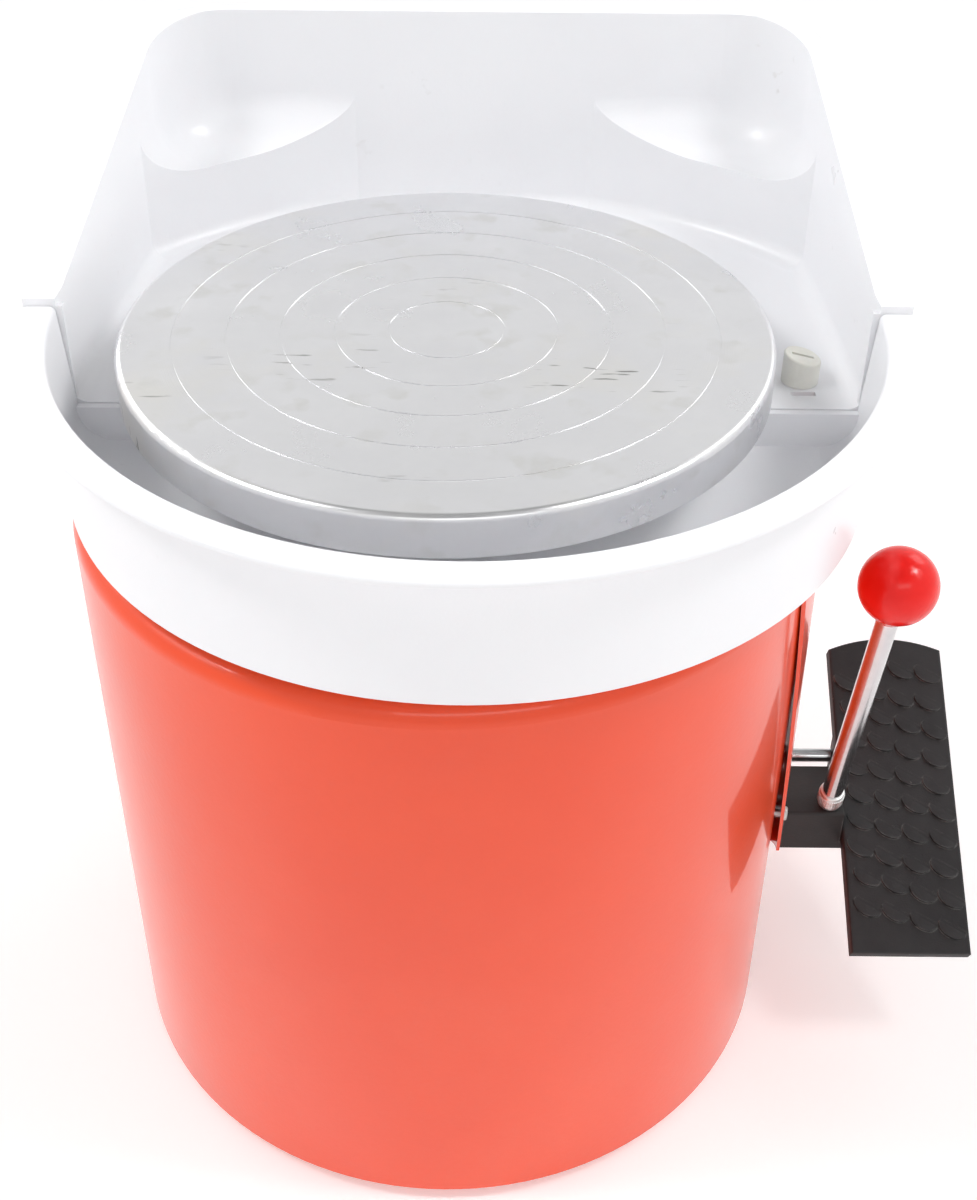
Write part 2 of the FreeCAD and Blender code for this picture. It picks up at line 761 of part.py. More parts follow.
def basin_outline(half_front, half_back, depth, corner, z0, z1):
    """Upright block with a tapering plan and two rounded rear corners."""
    back_centre = basin_shift + rear_back_shift
    face = polygon([(basin_shift - half_front, seam_y - 20.0, z0), (basin_shift + half_front, seam_y - 20.0, z0),
                    (basin_shift + half_front, seam_y, z0), (back_centre + half_back, depth, z0),
                    (back_centre - half_back, depth, z0),
                    (basin_shift - half_front, seam_y, z0)])
    block = face.extrude(vec(0, 0, z1 - z0))
    corners = []
    for edge in block.Edges:
        bounds = edge.BoundBox
        upright = bounds.ZMax - bounds.ZMin > 0.99 * (z1 - z0)
        if upright and abs(bounds.YMin - depth) < 1e-3:
            corners.append(edge)
    return block.makeFillet(corner, corners)


def rear_top_cut(drop):
    """Everything above the rear wall's sloping top edge, lowered by a drop."""
    start = rim_top + rear_rim_step - drop
    high = rear_back_height - drop
    outline = polygon([(-BIG, -BIG, start), (-BIG, seam_y + 10.0, start),
                       (-BIG, rear_depth - 6.0, high - 2.0), (-BIG, BIG, high + 6.0),
                       (-BIG, BIG, BIG + 200.0), (-BIG, -BIG, BIG + 200.0)])
    return outline.extrude(vec(2 * BIG, 0, 0))


def latch_centres():
    return [basin_shift - latch_reach, basin_shift + latch_reach]


def basin_rear():
    """Square high-backed half of the splash basin: well, corner shelves, rim and hub wall."""
    top = rear_back_height + 20.0
    inner_front = basin_radius - basin_wall
    inner_back = rear_back_half_width - basin_wall
    inner_depth = rear_depth - basin_wall
    inner_corner = rear_corner_radius - basin_wall

    def inside(z0, z1):
        return basin_outline(inner_front, inner_back, inner_depth, inner_corner, z0, z1)

    body = basin_outline(basin_radius, rear_back_half_width, rear_depth, rear_corner_radius, basin_bottom, top)
    rear_overhang = rear_rim_share * rim_overhang
    rim = basin_outline(basin_radius + rim_overhang, rear_back_half_width + rear_overhang,
                        rear_depth + rear_overhang, rear_corner_radius + rear_overhang, basin_bottom, top)
    rim = rim.common(rear_top_cut(rim_height))
    body = body.fuse(rim)
    square = inside(rear_floor, top)
    square = square.makeFillet(floor_fillet, level_edges(square, rear_floor, lambda p: p.y > seam_y - 19.0))
    drum = disc(well_radius, rear_floor, top, basin_shift, 0.0)
    well = square.common(drum.makeFillet(floor_fillet, circle_edges(drum, well_radius, rear_floor)))
    upper = inside(shelf_height, top)
    upper = upper.makeFillet(shelf_fillet, level_edges(upper, shelf_height, lambda p: p.y > seam_y - 19.0))
    body = body.cut(well).cut(upper)
    under_depth = rear_floor - basin_wall
    body = body.cut(inside(basin_bottom - 1.0, under_depth))
    pocket = inside(under_depth - 1.0, shelf_height - basin_wall)
    pocket = pocket.cut(disc(well_radius + basin_wall, 0.0, BIG, basin_shift, 0.0))
    body = body.cut(pocket).cut(rear_top_cut(0.0))
    body = body.cut(box(-BIG, BIG, -BIG, seam_y + seam_gap / 2, -BIG, 2 * BIG))
    hub = ring(hub_wall_radius + basin_wall, hub_wall_radius, under_depth, hub_wall_top, basin_shift, 0.0)
    foot = ring(seat_radius + 2.0, seat_radius - 2.0, basin_bottom, rear_floor - 1.0, basin_shift, 0.0)
    body = body.fuse(hub.fuse(foot).cut(box(-BIG, BIG, -BIG, seam_y + seam_gap / 2, -BIG, BIG)))
    body = body.cut(disc(hub_wall_radius, 0.0, BIG, basin_shift, 0.0))
    rib = inside(rear_floor - 1.0, rim_top).common(box(-BIG, BIG, seam_y + seam_gap / 2, seam_y + 3.5, 0.0, BIG))
    rib = rib.cut(box(basin_shift - inner_front + 2.5, basin_shift + inner_front - 2.5, -BIG, BIG, 0.0, BIG))
    body = body.fuse(rib)
    for x in latch_centres():
        body = body.cut(disc(latch_stem_radius + shaft_fit, 0.0, BIG, x, latch_y))
        body = body.cut(box(x - 5.0, x + 5.0, latch_y - latch_radius - 4.5, latch_y - latch_radius - 1.5,
                            under_depth - 1.0, rear_floor + 1.0))
    return body.removeSplitter()


def basin_front():
    """Round front half of the splash basin with its rolled rim, end wall and hub wall."""
    outer_low = basin_radius - basin_draft
    wall_top = rim_top - rim_height
    profile = [(0.0, basin_bottom), (outer_low - basin_foot_round, basin_bottom),
               (outer_low, basin_bottom + basin_foot_round),
               (basin_radius, wall_top), (basin_radius + rim_overhang, wall_top + 0.5),
               (basin_radius + rim_overhang, rim_top), (0.0, rim_top)]
    body = turned(profile, basin_shift)
    rim_radius = basin_radius + rim_overhang
    body = body.makeFillet(rim_top_round, circle_edges(body, rim_radius, rim_top))
    body = body.makeFillet(rim_under_round, circle_edges(body, rim_radius, wall_top + 0.5))
    inner_low = outer_low - basin_wall
    inner_top = basin_radius - basin_wall
    hollow = turned([(0.0, front_floor), (inner_low, front_floor), (inner_top, wall_top),
                     (inner_top, rim_top + 1.0), (0.0, rim_top + 1.0)], basin_shift)
    hollow = hollow.makeFillet(14.0, circle_edges(hollow, inner_low, front_floor))
    end_wall = seam_y - seam_gap / 2
    hollow = hollow.cut(box(-BIG, BIG, end_wall - 3.0, BIG, 0.0, rear_floor - end_wall_drop))
    hub = disc(hub_wall_radius + basin_wall, 0.0, hub_wall_top, basin_shift, 0.0)
    body = body.cut(hollow.cut(hub))
    body = body.cut(disc(hub_wall_radius, 0.0, BIG, basin_shift, 0.0))
    rim_inner = circle_edges(body, inner_top, rim_top)
    body = body.makeFillet(rim_inner_round, rim_inner)
    body = body.cut(box(-BIG, BIG, end_wall, BIG, -BIG, BIG))
    return body.removeSplitter()


def latch_knob(x):
    """Quarter-turn latch: sloped cap with a finger slit, stem through the floor, tongue under a catch."""
    cap = disc(latch_radius, rear_floor + 0.2, rear_floor + latch_height, x, latch_y)
    slope = box(x - 20.0, x + 20.0, latch_y - 20.0, latch_y + 20.0, 0.0, 20.0)
    slope.rotate(vec(x, latch_y, 0.0), ALONG_Y, 14.0)
    slope.translate(vec(0, 0, rear_floor + latch_height - 2.4))
    cap = cap.cut(slope)
    cap = cap.makeFillet(0.8, [e for e in cap.Edges if e.BoundBox.ZMax > rear_floor + latch_height - 1.5
                               and e.BoundBox.ZMin > rear_floor + 1.0])
    slit = box(x - 4.5, x + 4.5, latch_y - 0.8, latch_y + 0.8, rear_floor + latch_height - 5.5, BIG)
    cap = cap.cut(slit)
    tongue_top = rear_floor - basin_wall - latch_drop
    stem = disc(latch_stem_radius, tongue_top - 3.5, rear_floor + 0.2, x, latch_y)
    tip = x - math.copysign(latch_tongue, x)
    tongue = box(min(x, tip), max(x, tip), latch_y - 3.0, latch_y + 3.0, tongue_top - 3.5, tongue_top)
    return cap.fuse(stem).fuse(tongue).removeSplitter()


# ---------------------------------------------------------------- pedal and lever

def tilted(solid):
    """Turns a solid built level about the pedal pivot to the pedal's slope."""
    solid.rotate(PIVOT, ALONG_X, pedal_tilt)
    return solid


def pedal_slab(z0, z1, inset):
    """Foot-plate outline with an arched far end, between two heights over the pivot."""
    x0 = pedal_left + inset
    x1 = pedal_left + pedal_width - inset
    y0 = pivot_y - pedal_front + inset
    y1 = pivot_y + pedal_back - pedal_arch - inset
    base = pivot_z + z0
    edges = [Part.LineSegment(vec(x0, y1, base), vec(x0, y0, base)).toShape(),
             Part.LineSegment(vec(x0, y0, base), vec(x1, y0, base)).toShape(),
             Part.LineSegment(vec(x1, y0, base), vec(x1, y1, base)).toShape(),
             Part.Arc(vec(x1, y1, base), vec(0.5 * (x0 + x1), y1 + pedal_arch, base), vec(x0, y1, base)).toShape()]
    slab = Part.Face(Part.Wire(edges)).extrude(vec(0, 0, z1 - z0))
    corners = [e for e in slab.Edges if e.BoundBox.ZMax - e.BoundBox.ZMin > 0.9 * (z1 - z0)]
    return slab.makeFillet(4.0, corners)


def pedal_plate():
    """Steel foot plate with its screw holes."""
    plate = pedal_slab(plate_bottom, tread_bottom, 1.5)
    for x, y in pedal_screw_places():
        plate = plate.cut(disc(2.0, 0.0, BIG, x, y))
    return tilted(plate)


def pedal_screw_places():
    """Plan positions of the screws that hold the plate to its arm, on the level plate."""
    columns = (pedal_left + plate_screw_inset, pedal_left + plate_screw_inset + plate_screw_pitch_x)
    rows = (pivot_y - plate_screw_pitch_y / 2, pivot_y + plate_screw_pitch_y / 2)
    return [(x, y) for x in columns for y in rows]


def pedal_screws():
    screws = []
    for x, y in pedal_screw_places():
        head = disc(plate_screw_head, pivot_z + tread_bottom, pivot_z + tread_bottom + 2.0, x, y)
        stem = disc(plate_screw_radius, pivot_z + plate_bottom - 8.0, pivot_z + tread_bottom, x, y)
        screws.append(tilted(head.fuse(stem)))
    return screws


def pedal_tread():
    """Rubber tread moulded over the plate, wrapping its edges, with rows of raised scales."""
    pad = pedal_slab(plate_bottom - 0.5, tread_above_pivot - 0.9, 0.0)
    rim = [e for e in pad.Edges if abs(e.BoundBox.ZMin - (pivot_z + tread_above_pivot - 0.9)) < 1e-4
           and abs(e.BoundBox.ZMax - (pivot_z + tread_above_pivot - 0.9)) < 1e-4]
    pad = pad.makeFillet(1.2, rim)
    pad = pad.cut(pedal_slab(plate_bottom - 1.0, tread_bottom, 1.5))
    for x, y in pedal_screw_places():
        pad = pad.cut(disc(3.8, 0.0, pivot_z + tread_bottom + 2.2, x, y))
    pitch_x = 12.4
    pitch_y = 14.0
    scales = []
    for row in range(11):
        for column in range(4):
            x = pedal_left + 9.0 + pitch_x * column + (row % 2) * 3.0 - 1.5
            y = pivot_y - pedal_front + 9.0 + pitch_y * row + 4.5 * (column % 2)
            if y > pivot_y + pedal_back - 13.0:
                continue
            scale = Part.makeCylinder(4.6, 0.9, vec(x, y, pivot_z + tread_above_pivot - 1.0), UP)
            scale = scale.common(box(x - 5.5, x + 5.5, y - 6.0, y + 2.2, 0.0, BIG))
            scales.append(scale)
    return tilted(pad.fuse(scales))


def pedal_arm():
    """Black bar from the drum to the pedal, with a sloped seat for the plate and a rod lug."""
    y0 = pivot_y - arm_depth / 2
    y1 = pivot_y + arm_depth / 2
    z0 = pivot_z - arm_height / 2
    z1 = pivot_z + arm_height / 2
    arm = box(arm_start, arm_reach, y0, y1, z0, z1)
    long_edges = [e for e in arm.Edges if e.BoundBox.XLength > 10.0]
    arm = arm.makeFillet(1.5, long_edges)
    arm = arm.fuse(box(pedal_left + 1.0, pedal_left + 12.0, y1 - 1.0, steady_rod_y + 7.0, z0 + 6.0, z1 + 8.0))
    above = box(pedal_left - 0.5, BIG, -BIG, BIG, pivot_z + plate_bottom - 0.5, BIG)
    arm = arm.cut(tilted(above))
    arm = arm.cut(rod(pedal_shaft_radius, vec(0, pivot_y, pivot_z), ALONG_X, arm_start + 16.0))
    arm = arm.cut(rod(steady_rod_radius, vec(0, steady_rod_y, steady_rod_z), ALONG_X, pedal_left + 9.0))
    for x, y in pedal_screw_places():
        arm = arm.cut(tilted(disc(2.0, pivot_z + plate_bottom - 8.0, BIG, x, y)))
    foot = lever_foot()
    return arm.cut(rod(lever_radius, foot - lever_direction() * lever_socket, lever_direction(), lever_socket + 10.0))


def lever_foot():
    """The point where the lever's centre line meets the arm's top face."""
    return vec(lever_x, lever_y, pivot_z + arm_height / 2)


def lever_direction():
    lean = math.radians(lever_lean)
    return vec(0.0, -math.sin(lean), math.cos(lean))


def lever_rod():
    """Chromed lever seated in the arm's top."""
    return rod(lever_radius, lever_foot() - lever_direction() * lever_socket, lever_direction(),
               lever_socket + lever_length)


def lever_collar():
    """Knurled lock nut at the lever's foot."""
    collar = rod(lever_collar_radius, lever_foot() + lever_direction() * 1.8, lever_direction(), lever_collar_length)
    collar = collar.makeFillet(0.8, [e for e in collar.Edges if len(e.Vertexes) == 1])
    return collar.cut(rod(lever_radius, lever_foot() - lever_direction() * 20.0, lever_direction(), 60.0))


def lever_knob():
    """Round plastic knob with a short tapered neck, screwed over the lever's end."""
    neck = knob_radius + 2.6
    half = math.radians(58.0)
    start = (knob_radius * math.sin(half), -knob_radius * math.cos(half))
    ball = Part.Arc(vec(start[0], 0, start[1]), vec(knob_radius, 0, 0), vec(0, 0, knob_radius)).toShape()
    tip = lever_radius + 1.6
    cone = Part.LineSegment(vec(tip, 0, -neck), vec(start[0], 0, start[1])).toShape()
    base = Part.LineSegment(vec(0, 0, -neck), vec(tip, 0, -neck)).toShape()
    axis = Part.LineSegment(vec(0, 0, knob_radius), vec(0, 0, -neck)).toShape()
    knob = Part.Face(Part.Wire([base, cone, ball, axis])).revolve(ORIGIN, UP, 360.0)
    knob = knob.cut(disc(lever_radius, -neck - 1.0, lever_length - knob_height))
    knob.rotate(ORIGIN, ALONG_X, lever_lean)
    knob.translate(lever_foot() + lever_direction() * knob_height)
    return knob


def steady_rod():
    """Chromed rod beside the pivot, whose slot in the drum sets the pedal's travel."""
    return rod(steady_rod_radius, vec(138.0, steady_rod_y, steady_rod_z), ALONG_X, pedal_left + 9.0 - 138.0)


def pedal_shaft():
    """Pivot shaft, turned down at its inner end for the speed control."""
    shaft = rod(pedal_shaft_radius, vec(96.0, pivot_y, pivot_z), ALONG_X, arm_start + 16.0 - 96.0)
    return shaft.fuse(rod(3.0, vec(82.0, pivot_y, pivot_z), ALONG_X, 15.0))


def pedal_bracket():
    """Folded steel bracket on the base plate with an ear at each end."""
    front = pivot_y - 25.0
    back = pivot_y + 25.0
    bracket = box(bracket_left, bracket_right, front, back, base_top, base_top + bracket_sheet)
    for x0 in (bracket_left, bracket_right - bracket_sheet):
        bracket = bracket.fuse(box(x0, x0 + bracket_sheet, front, back, base_top, pivot_z + 20.0))
    bore = rod(pedal_shaft_radius + 4.0, PIVOT, ALONG_X, BIG)
    return bracket.cut(bore).removeSplitter()


def pedal_bushings():
    """Flanged bronze bushings pressed into the ears."""
    bushings = []
    inner_left = bracket_left + bracket_sheet
    inner_right = bracket_right - bracket_sheet
    for x0, flange_x in ((bracket_left, inner_left), (inner_right, inner_right - 2.0)):
        sleeve = rod(pedal_shaft_radius + 4.0, vec(x0, pivot_y, pivot_z), ALONG_X, bracket_sheet)
        flange = rod(pedal_shaft_radius + 6.0, vec(flange_x, pivot_y, pivot_z), ALONG_X, 2.0)
        bore = rod(pedal_shaft_radius + shaft_fit, vec(0, pivot_y, pivot_z), ALONG_X, 200.0)
        bushings.append(sleeve.fuse(flange).cut(bore))
    return bushings


def speed_sensor():
    """Rotary speed control on a small post, read by the pivot shaft's turned end."""
    body = rod(12.0, vec(80.0, pivot_y, pivot_z), ALONG_X, 11.0)
    post = box(80.0, 84.0, pivot_y - 10.0, pivot_y + 10.0, base_top, pivot_z)
    foot = box(70.0, 84.0, pivot_y - 10.0, pivot_y + 10.0, base_top, base_top + 3.0)
    bore = rod(3.0 + shaft_fit, vec(81.5, pivot_y, pivot_z), ALONG_X, 20.0)
    return body.fuse(post).fuse(foot).cut(bore).removeSplitter()


def build_base():
    rivets = seam_rivets() + cover_rivets()
    add("base_ring", drilled(base_ring(), base_ring_screws()))
    add("base_plate", drilled(base_plate(), base_ring_screws() + controller_screws()))
    add("base_ring_screws", base_ring_screws())
    add("columns", columns())
    add("drum_front_shell", drilled(drum_front_shell(), rivets))
    add("drum_rear_shell", drilled(drum_rear_shell(), rivets))
    add("seam_strips", drilled(seam_strips(), rivets))
    add("seam_rivets", seam_rivets())
    add("side_cover", drilled(side_cover(), rivets))
    add("cover_rivets", cover_rivets())
    add("deck_plate", drilled(deck_plate(), deck_screws() + housing_screws()))
    add("deck_screws", deck_screws())
    add("basin_seat", basin_seat())
    add("latch_catches", latch_catches())
    add("bearing_housing", drilled(bearing_housing(), housing_screws()))
    add("housing_screws", housing_screws())
    add("upper_bearing_outer_race", bearing_outer(upper_bearing_z))
    add("lower_bearing_outer_race", bearing_outer(lower_bearing_z))
    add("shaft_seal", shaft_seal())


def build_turntable():
    add("wheel_head", wheel_head())
    add("wheel_hub", wheel_hub())
    add("hub_screws", hub_screws())
    add("wheel_shaft", wheel_shaft())
    add("upper_bearing_inner_race", bearing_inner(upper_bearing_z))
    add("lower_bearing_inner_race", bearing_inner(lower_bearing_z))
    add("spacer_sleeve", spacer_sleeve())
    add("large_pulley", large_pulley())
    add("shaft_nut", shaft_nut())


def build_motor():
    add("motor_can", motor_can())
    add("motor_plate", motor_plate())
    add("motor_studs", motor_studs())
    add("motor_shaft", motor_shaft())
    add("small_pulley", small_pulley())
    add("drive_belt", drive_belt())
    add("speed_controller", speed_controller())
    add("controller_feet", drilled(controller_feet(), controller_screws()))
    add("controller_screws", controller_screws())


def build_switches():
    add("switch_panel", switch_panel())
    add("power_inlet", power_inlet())
    add("fuse_holder", fuse_holder())
    add("power_switch_frame", switch_frame(power_x))
    add("direction_switch_frame", switch_frame(direction_x))
    add("power_rocker", rocker(power_x))
    add("direction_rocker", rocker(direction_x))


def build_basin():
    add("basin_front_half", basin_front())
    add("basin_rear_half", basin_rear())
    left, right = latch_centres()
    add("latch_knob_left", latch_knob(left))
    add("latch_knob_right", latch_knob(right))


def build_pedal():
    add("pedal_plate", pedal_plate())
    add("pedal_screws", pedal_screws())
    add("pedal_tread", pedal_tread())
    add("pedal_arm", pedal_arm())
    add("pedal_shaft", pedal_shaft())
    add("pedal_bracket", pedal_bracket())
    add("pedal_bushings", pedal_bushings())
    add("steady_rod", steady_rod())
    add("speed_sensor", speed_sensor())
    add("lever_rod", lever_rod())
    add("lever_collar", lever_collar())
    add("lever_knob", lever_knob())


build_base()
build_turntable()
build_motor()
build_switches()
build_basin()
build_pedal()
save_all()
print(len(parts), "nodes")
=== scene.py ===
import math

import bpy
from mathutils import Matrix, Vector


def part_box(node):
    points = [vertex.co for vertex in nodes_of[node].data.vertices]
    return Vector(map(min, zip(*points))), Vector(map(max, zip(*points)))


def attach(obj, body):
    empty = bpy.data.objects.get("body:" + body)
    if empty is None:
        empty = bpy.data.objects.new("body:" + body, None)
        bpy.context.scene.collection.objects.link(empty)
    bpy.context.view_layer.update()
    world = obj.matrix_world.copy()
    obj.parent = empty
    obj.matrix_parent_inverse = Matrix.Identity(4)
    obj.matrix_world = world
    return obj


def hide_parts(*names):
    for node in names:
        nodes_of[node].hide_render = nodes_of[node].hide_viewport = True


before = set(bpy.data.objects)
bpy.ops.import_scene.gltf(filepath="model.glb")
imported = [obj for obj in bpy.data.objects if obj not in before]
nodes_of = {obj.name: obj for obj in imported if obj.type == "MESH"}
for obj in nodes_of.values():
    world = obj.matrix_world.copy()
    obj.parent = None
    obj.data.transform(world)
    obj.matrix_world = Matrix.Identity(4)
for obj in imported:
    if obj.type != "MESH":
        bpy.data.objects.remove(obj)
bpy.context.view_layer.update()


# ------------------------------------------------------------ base: rubber ring, steel plate and columns
# The machine stands on a moulded rubber ring that is screwed under a zinc plated steel plate.
# Four plated tubes stand on the plate and carry the deck inside the drum.

def shader_group(name, inputs, outputs):
    """An empty node group with named sockets, and its own input and output nodes."""
    group = bpy.data.node_groups.new(name, "ShaderNodeTree")
    for label, kind, value in inputs:
        socket = group.interface.new_socket(label, in_out="INPUT", socket_type=kind)
        if value is not None:
            socket.default_value = value
    for label, kind in outputs:
        group.interface.new_socket(label, in_out="OUTPUT", socket_type=kind)
    return group, group.nodes.new("NodeGroupInput"), group.nodes.new("NodeGroupOutput")


def uneven_finish():
    """Slow cloudy tone and fine grain over a surface, both from 0 to 1."""
    group, given, made = shader_group(
        "uneven_finish",
        [("Vector", "NodeSocketVector", None), ("Cloud Scale", "NodeSocketFloat", 20.0),
         ("Grain Scale", "NodeSocketFloat", 900.0)],
        [("Cloud", "NodeSocketFloat"), ("Grain", "NodeSocketFloat")])
    for label, detail, roughness in (("Cloud", 5.0, 0.62), ("Grain", 2.0, 0.5)):
        noise = group.nodes.new("ShaderNodeTexNoise")
        noise.inputs["Detail"].default_value = detail
        noise.inputs["Roughness"].default_value = roughness
        spread = group.nodes.new("ShaderNodeMapRange")
        spread.inputs["From Min"].default_value = 0.28
        spread.inputs["From Max"].default_value = 0.72
        group.links.new(given.outputs["Vector"], noise.inputs["Vector"])
        group.links.new(given.outputs[label + " Scale"], noise.inputs["Scale"])
        group.links.new(noise.outputs["Fac"], spread.inputs["Value"])
        group.links.new(spread.outputs["Result"], made.inputs[label])
    return group


def edge_rub():
    """Where an edge is rubbed: the difference between the rounded and the true normal, broken up by grain."""
    group, given, made = shader_group(
        "edge_rub",
        [("Vector", "NodeSocketVector", None), ("Grain Scale", "NodeSocketFloat", 200.0),
         ("Amount", "NodeSocketFloat", 1.0)],
        [("Mask", "NodeSocketFloat")])
    rounded = group.nodes.new("ShaderNodeBevel")
    rounded.samples = 4
    rounded.inputs["Radius"].default_value = 0.0012
    true = group.nodes.new("ShaderNodeNewGeometry")
    facing = group.nodes.new("ShaderNodeVectorMath")
    facing.operation = "DOT_PRODUCT"
    edge = group.nodes.new("ShaderNodeMapRange")
    edge.inputs["From Min"].default_value = 0.985
    edge.inputs["From Max"].default_value = 0.80
    noise = group.nodes.new("ShaderNodeTexNoise")
    noise.inputs["Detail"].default_value = 4.0
    patches = group.nodes.new("ShaderNodeMapRange")
    patches.inputs["From Min"].default_value = 0.40
    patches.inputs["From Max"].default_value = 0.62
    both = group.nodes.new("ShaderNodeMath")
    both.operation = "MULTIPLY"
    scaled = group.nodes.new("ShaderNodeMath")
    scaled.operation = "MULTIPLY"
    scaled.use_clamp = True
    group.links.new(rounded.outputs["Normal"], facing.inputs[0])
    group.links.new(true.outputs["Normal"], facing.inputs[1])
    group.links.new(facing.outputs["Value"], edge.inputs["Value"])
    group.links.new(given.outputs["Vector"], noise.inputs["Vector"])
    group.links.new(given.outputs["Grain Scale"], noise.inputs["Scale"])
    group.links.new(noise.outputs["Fac"], patches.inputs["Value"])
    group.links.new(edge.outputs["Result"], both.inputs[0])
    group.links.new(patches.outputs["Result"], both.inputs[1])
    group.links.new(both.outputs["Value"], scaled.inputs[0])
    group.links.new(given.outputs["Amount"], scaled.inputs[1])
    group.links.new(scaled.outputs["Value"], made.inputs["Mask"])
    return group


UNEVEN = uneven_finish()
RUBBED = edge_rub()


class Finish:
    """A material being put together: its shader, its object coordinates, and short ways to add nodes."""

    def __init__(self, name, **sockets):
        self.material = bpy.data.materials.new(name)
        self.material.use_nodes = True
        self.tree = self.material.node_tree
        self.shader = self.tree.nodes["Principled BSDF"]
        for label, value in sockets.items():
            self.shader.inputs[label.replace("_", " ")].default_value = value
        self.place = self.node("ShaderNodeTexCoord").outputs["Object"]

    def node(self, kind, **inputs):
        made = self.tree.nodes.new(kind)
        for label, value in inputs.items():
            self.feed(made.inputs[label.replace("_", " ")], value)
        return made

    def feed(self, socket, value):
        if isinstance(value, bpy.types.NodeSocket):
            self.tree.links.new(value, socket)
        else:
            socket.default_value = value

    def group(self, tree, **inputs):
        made = self.tree.nodes.new("ShaderNodeGroup")
        made.node_tree = tree
        for label, value in inputs.items():
            self.feed(made.inputs[label.replace("_", " ")], value)
        self.feed(made.inputs["Vector"], inputs.get("Vector", self.place))
        return made

    def blend(self, share, first, second):
        """A colour between two colours, from the mix node's colour sockets."""
        share_in, first_in, second_in, color_out = 0, 6, 7, 2
        mix = self.tree.nodes.new("ShaderNodeMix")
        mix.data_type = "RGBA"
        self.feed(mix.inputs[share_in], share)
        self.feed(mix.inputs[first_in], first)
        self.feed(mix.inputs[second_in], second)
        return mix.outputs[color_out]

    def span(self, value, low, high, from_low=0.0, from_high=1.0):
        """A value stretched from one range onto another."""
        made = self.node("ShaderNodeMapRange", Value=value, From_Min=from_low, From_Max=from_high,
                         To_Min=low, To_Max=high)
        return made.outputs["Result"]

    def math(self, operation, first, second=0.0):
        made = self.tree.nodes.new("ShaderNodeMath")
        made.operation = operation
        self.feed(made.inputs[0], first)
        self.feed(made.inputs[1], second)
        return made.outputs["Value"]

    def bump(self, height, distance, strength=1.0, under=None):
        made = self.node("ShaderNodeBump", Height=height, Distance=distance, Strength=strength)
        if under is not None:
            self.feed(made.inputs["Normal"], under)
        return made.outputs["Normal"]

    def wear(self, color, roughness=None, normal=None):
        """Joins what was made to the shader."""
        for label, value in (("Base Color", color), ("Roughness", roughness), ("Normal", normal)):
            if value is not None:
                self.feed(self.shader.inputs[label], value)
        return self.material


def give(material, *names):
    """A CAD node keeps its mesh and takes this material."""
    for name in names:
        mesh = nodes_of[name].data
        mesh.materials.clear()
        mesh.materials.append(material)


def plain_finish(name, clouds, grain, darker, lighter, rough, dents, rough_by="Cloud", **sockets):
    """Two close tones in slow clouds, an uneven gloss, and fine grain of some depth and strength."""
    f = Finish(name, **sockets)
    uneven = f.group(UNEVEN, Cloud_Scale=clouds, Grain_Scale=grain)
    color = f.blend(uneven.outputs["Cloud"], darker + (1,), lighter + (1,))
    return f.wear(color, f.span(uneven.outputs[rough_by], *rough), f.bump(uneven.outputs["Grain"], *dents))


def moulded_rubber():
    f = Finish("moulded_rubber", Specular_IOR_Level=0.35)
    uneven = f.group(UNEVEN, Cloud_Scale=28.0, Grain_Scale=1400.0)
    rub = f.group(RUBBED, Grain_Scale=260.0, Amount=0.8)
    base = f.blend(uneven.outputs["Cloud"], (0.016, 0.015, 0.015, 1), (0.030, 0.028, 0.028, 1))
    color = f.blend(rub.outputs["Mask"], base, (0.085, 0.082, 0.080, 1))
    return f.wear(color, f.span(uneven.outputs["Cloud"], 0.52, 0.72),
                  f.bump(uneven.outputs["Grain"], 0.0002, 0.35))


RUBBER = moulded_rubber()
ZINC = plain_finish("zinc_plate", clouds=60.0, grain=2200.0,
                    darker=(0.50, 0.50, 0.49), lighter=(0.68, 0.68, 0.66),
                    rough=(0.28, 0.46), dents=(0.0001, 0.2), Metallic=1.0)
give(RUBBER, "base_ring", "basin_seat", "shaft_seal", "drive_belt")
give(ZINC, "base_plate", "base_ring_screws", "columns", "deck_screws", "latch_catches", "housing_screws",
     "hub_screws", "shaft_nut", "motor_plate", "motor_studs", "controller_screws", "pedal_bracket",
     "pedal_screws", "seam_strips", "seam_rivets", "cover_rivets")


# ------------------------------------------------------------ drive: castings, ground steel and motor
# The bearing housing, hub, pulleys and speed control are sand-blasted aluminium castings.
# The shafts and bearing races are ground steel, and the motor can is steel in satin black paint.

CASTING = plain_finish("cast_metal", clouds=45.0, grain=1100.0,
                       darker=(0.46, 0.46, 0.46), lighter=(0.60, 0.60, 0.60),
                       rough=(0.42, 0.58), dents=(0.0002, 0.5), rough_by="Grain", Metallic=1.0)
GROUND = plain_finish("ground_steel", clouds=30.0, grain=2500.0,
                      darker=(0.52, 0.52, 0.53), lighter=(0.62, 0.62, 0.62),
                      rough=(0.16, 0.28), dents=(0.00005, 0.2), Metallic=1.0)
give(CASTING, "bearing_housing", "wheel_hub", "large_pulley", "small_pulley", "speed_controller",
     "controller_feet")
give(GROUND, "wheel_shaft", "spacer_sleeve", "upper_bearing_inner_race", "lower_bearing_inner_race",
     "upper_bearing_outer_race", "lower_bearing_outer_race", "motor_shaft", "pedal_shaft")
BRONZE = plain_finish("sintered_bronze", clouds=90.0, grain=3000.0,
                      darker=(0.42, 0.26, 0.12), lighter=(0.58, 0.38, 0.19),
                      rough=(0.32, 0.5), dents=(0.0001, 0.3), Metallic=1.0)
give(BRONZE, "pedal_bushings")


# ------------------------------------------------------------ drum: rolled steel in orange-red gloss paint
# Two rolled shells meet at the sides, with a raised cover over the seam on the pedal side.
# The paint is sprayed powder with a slight orange peel and a clear gloss.

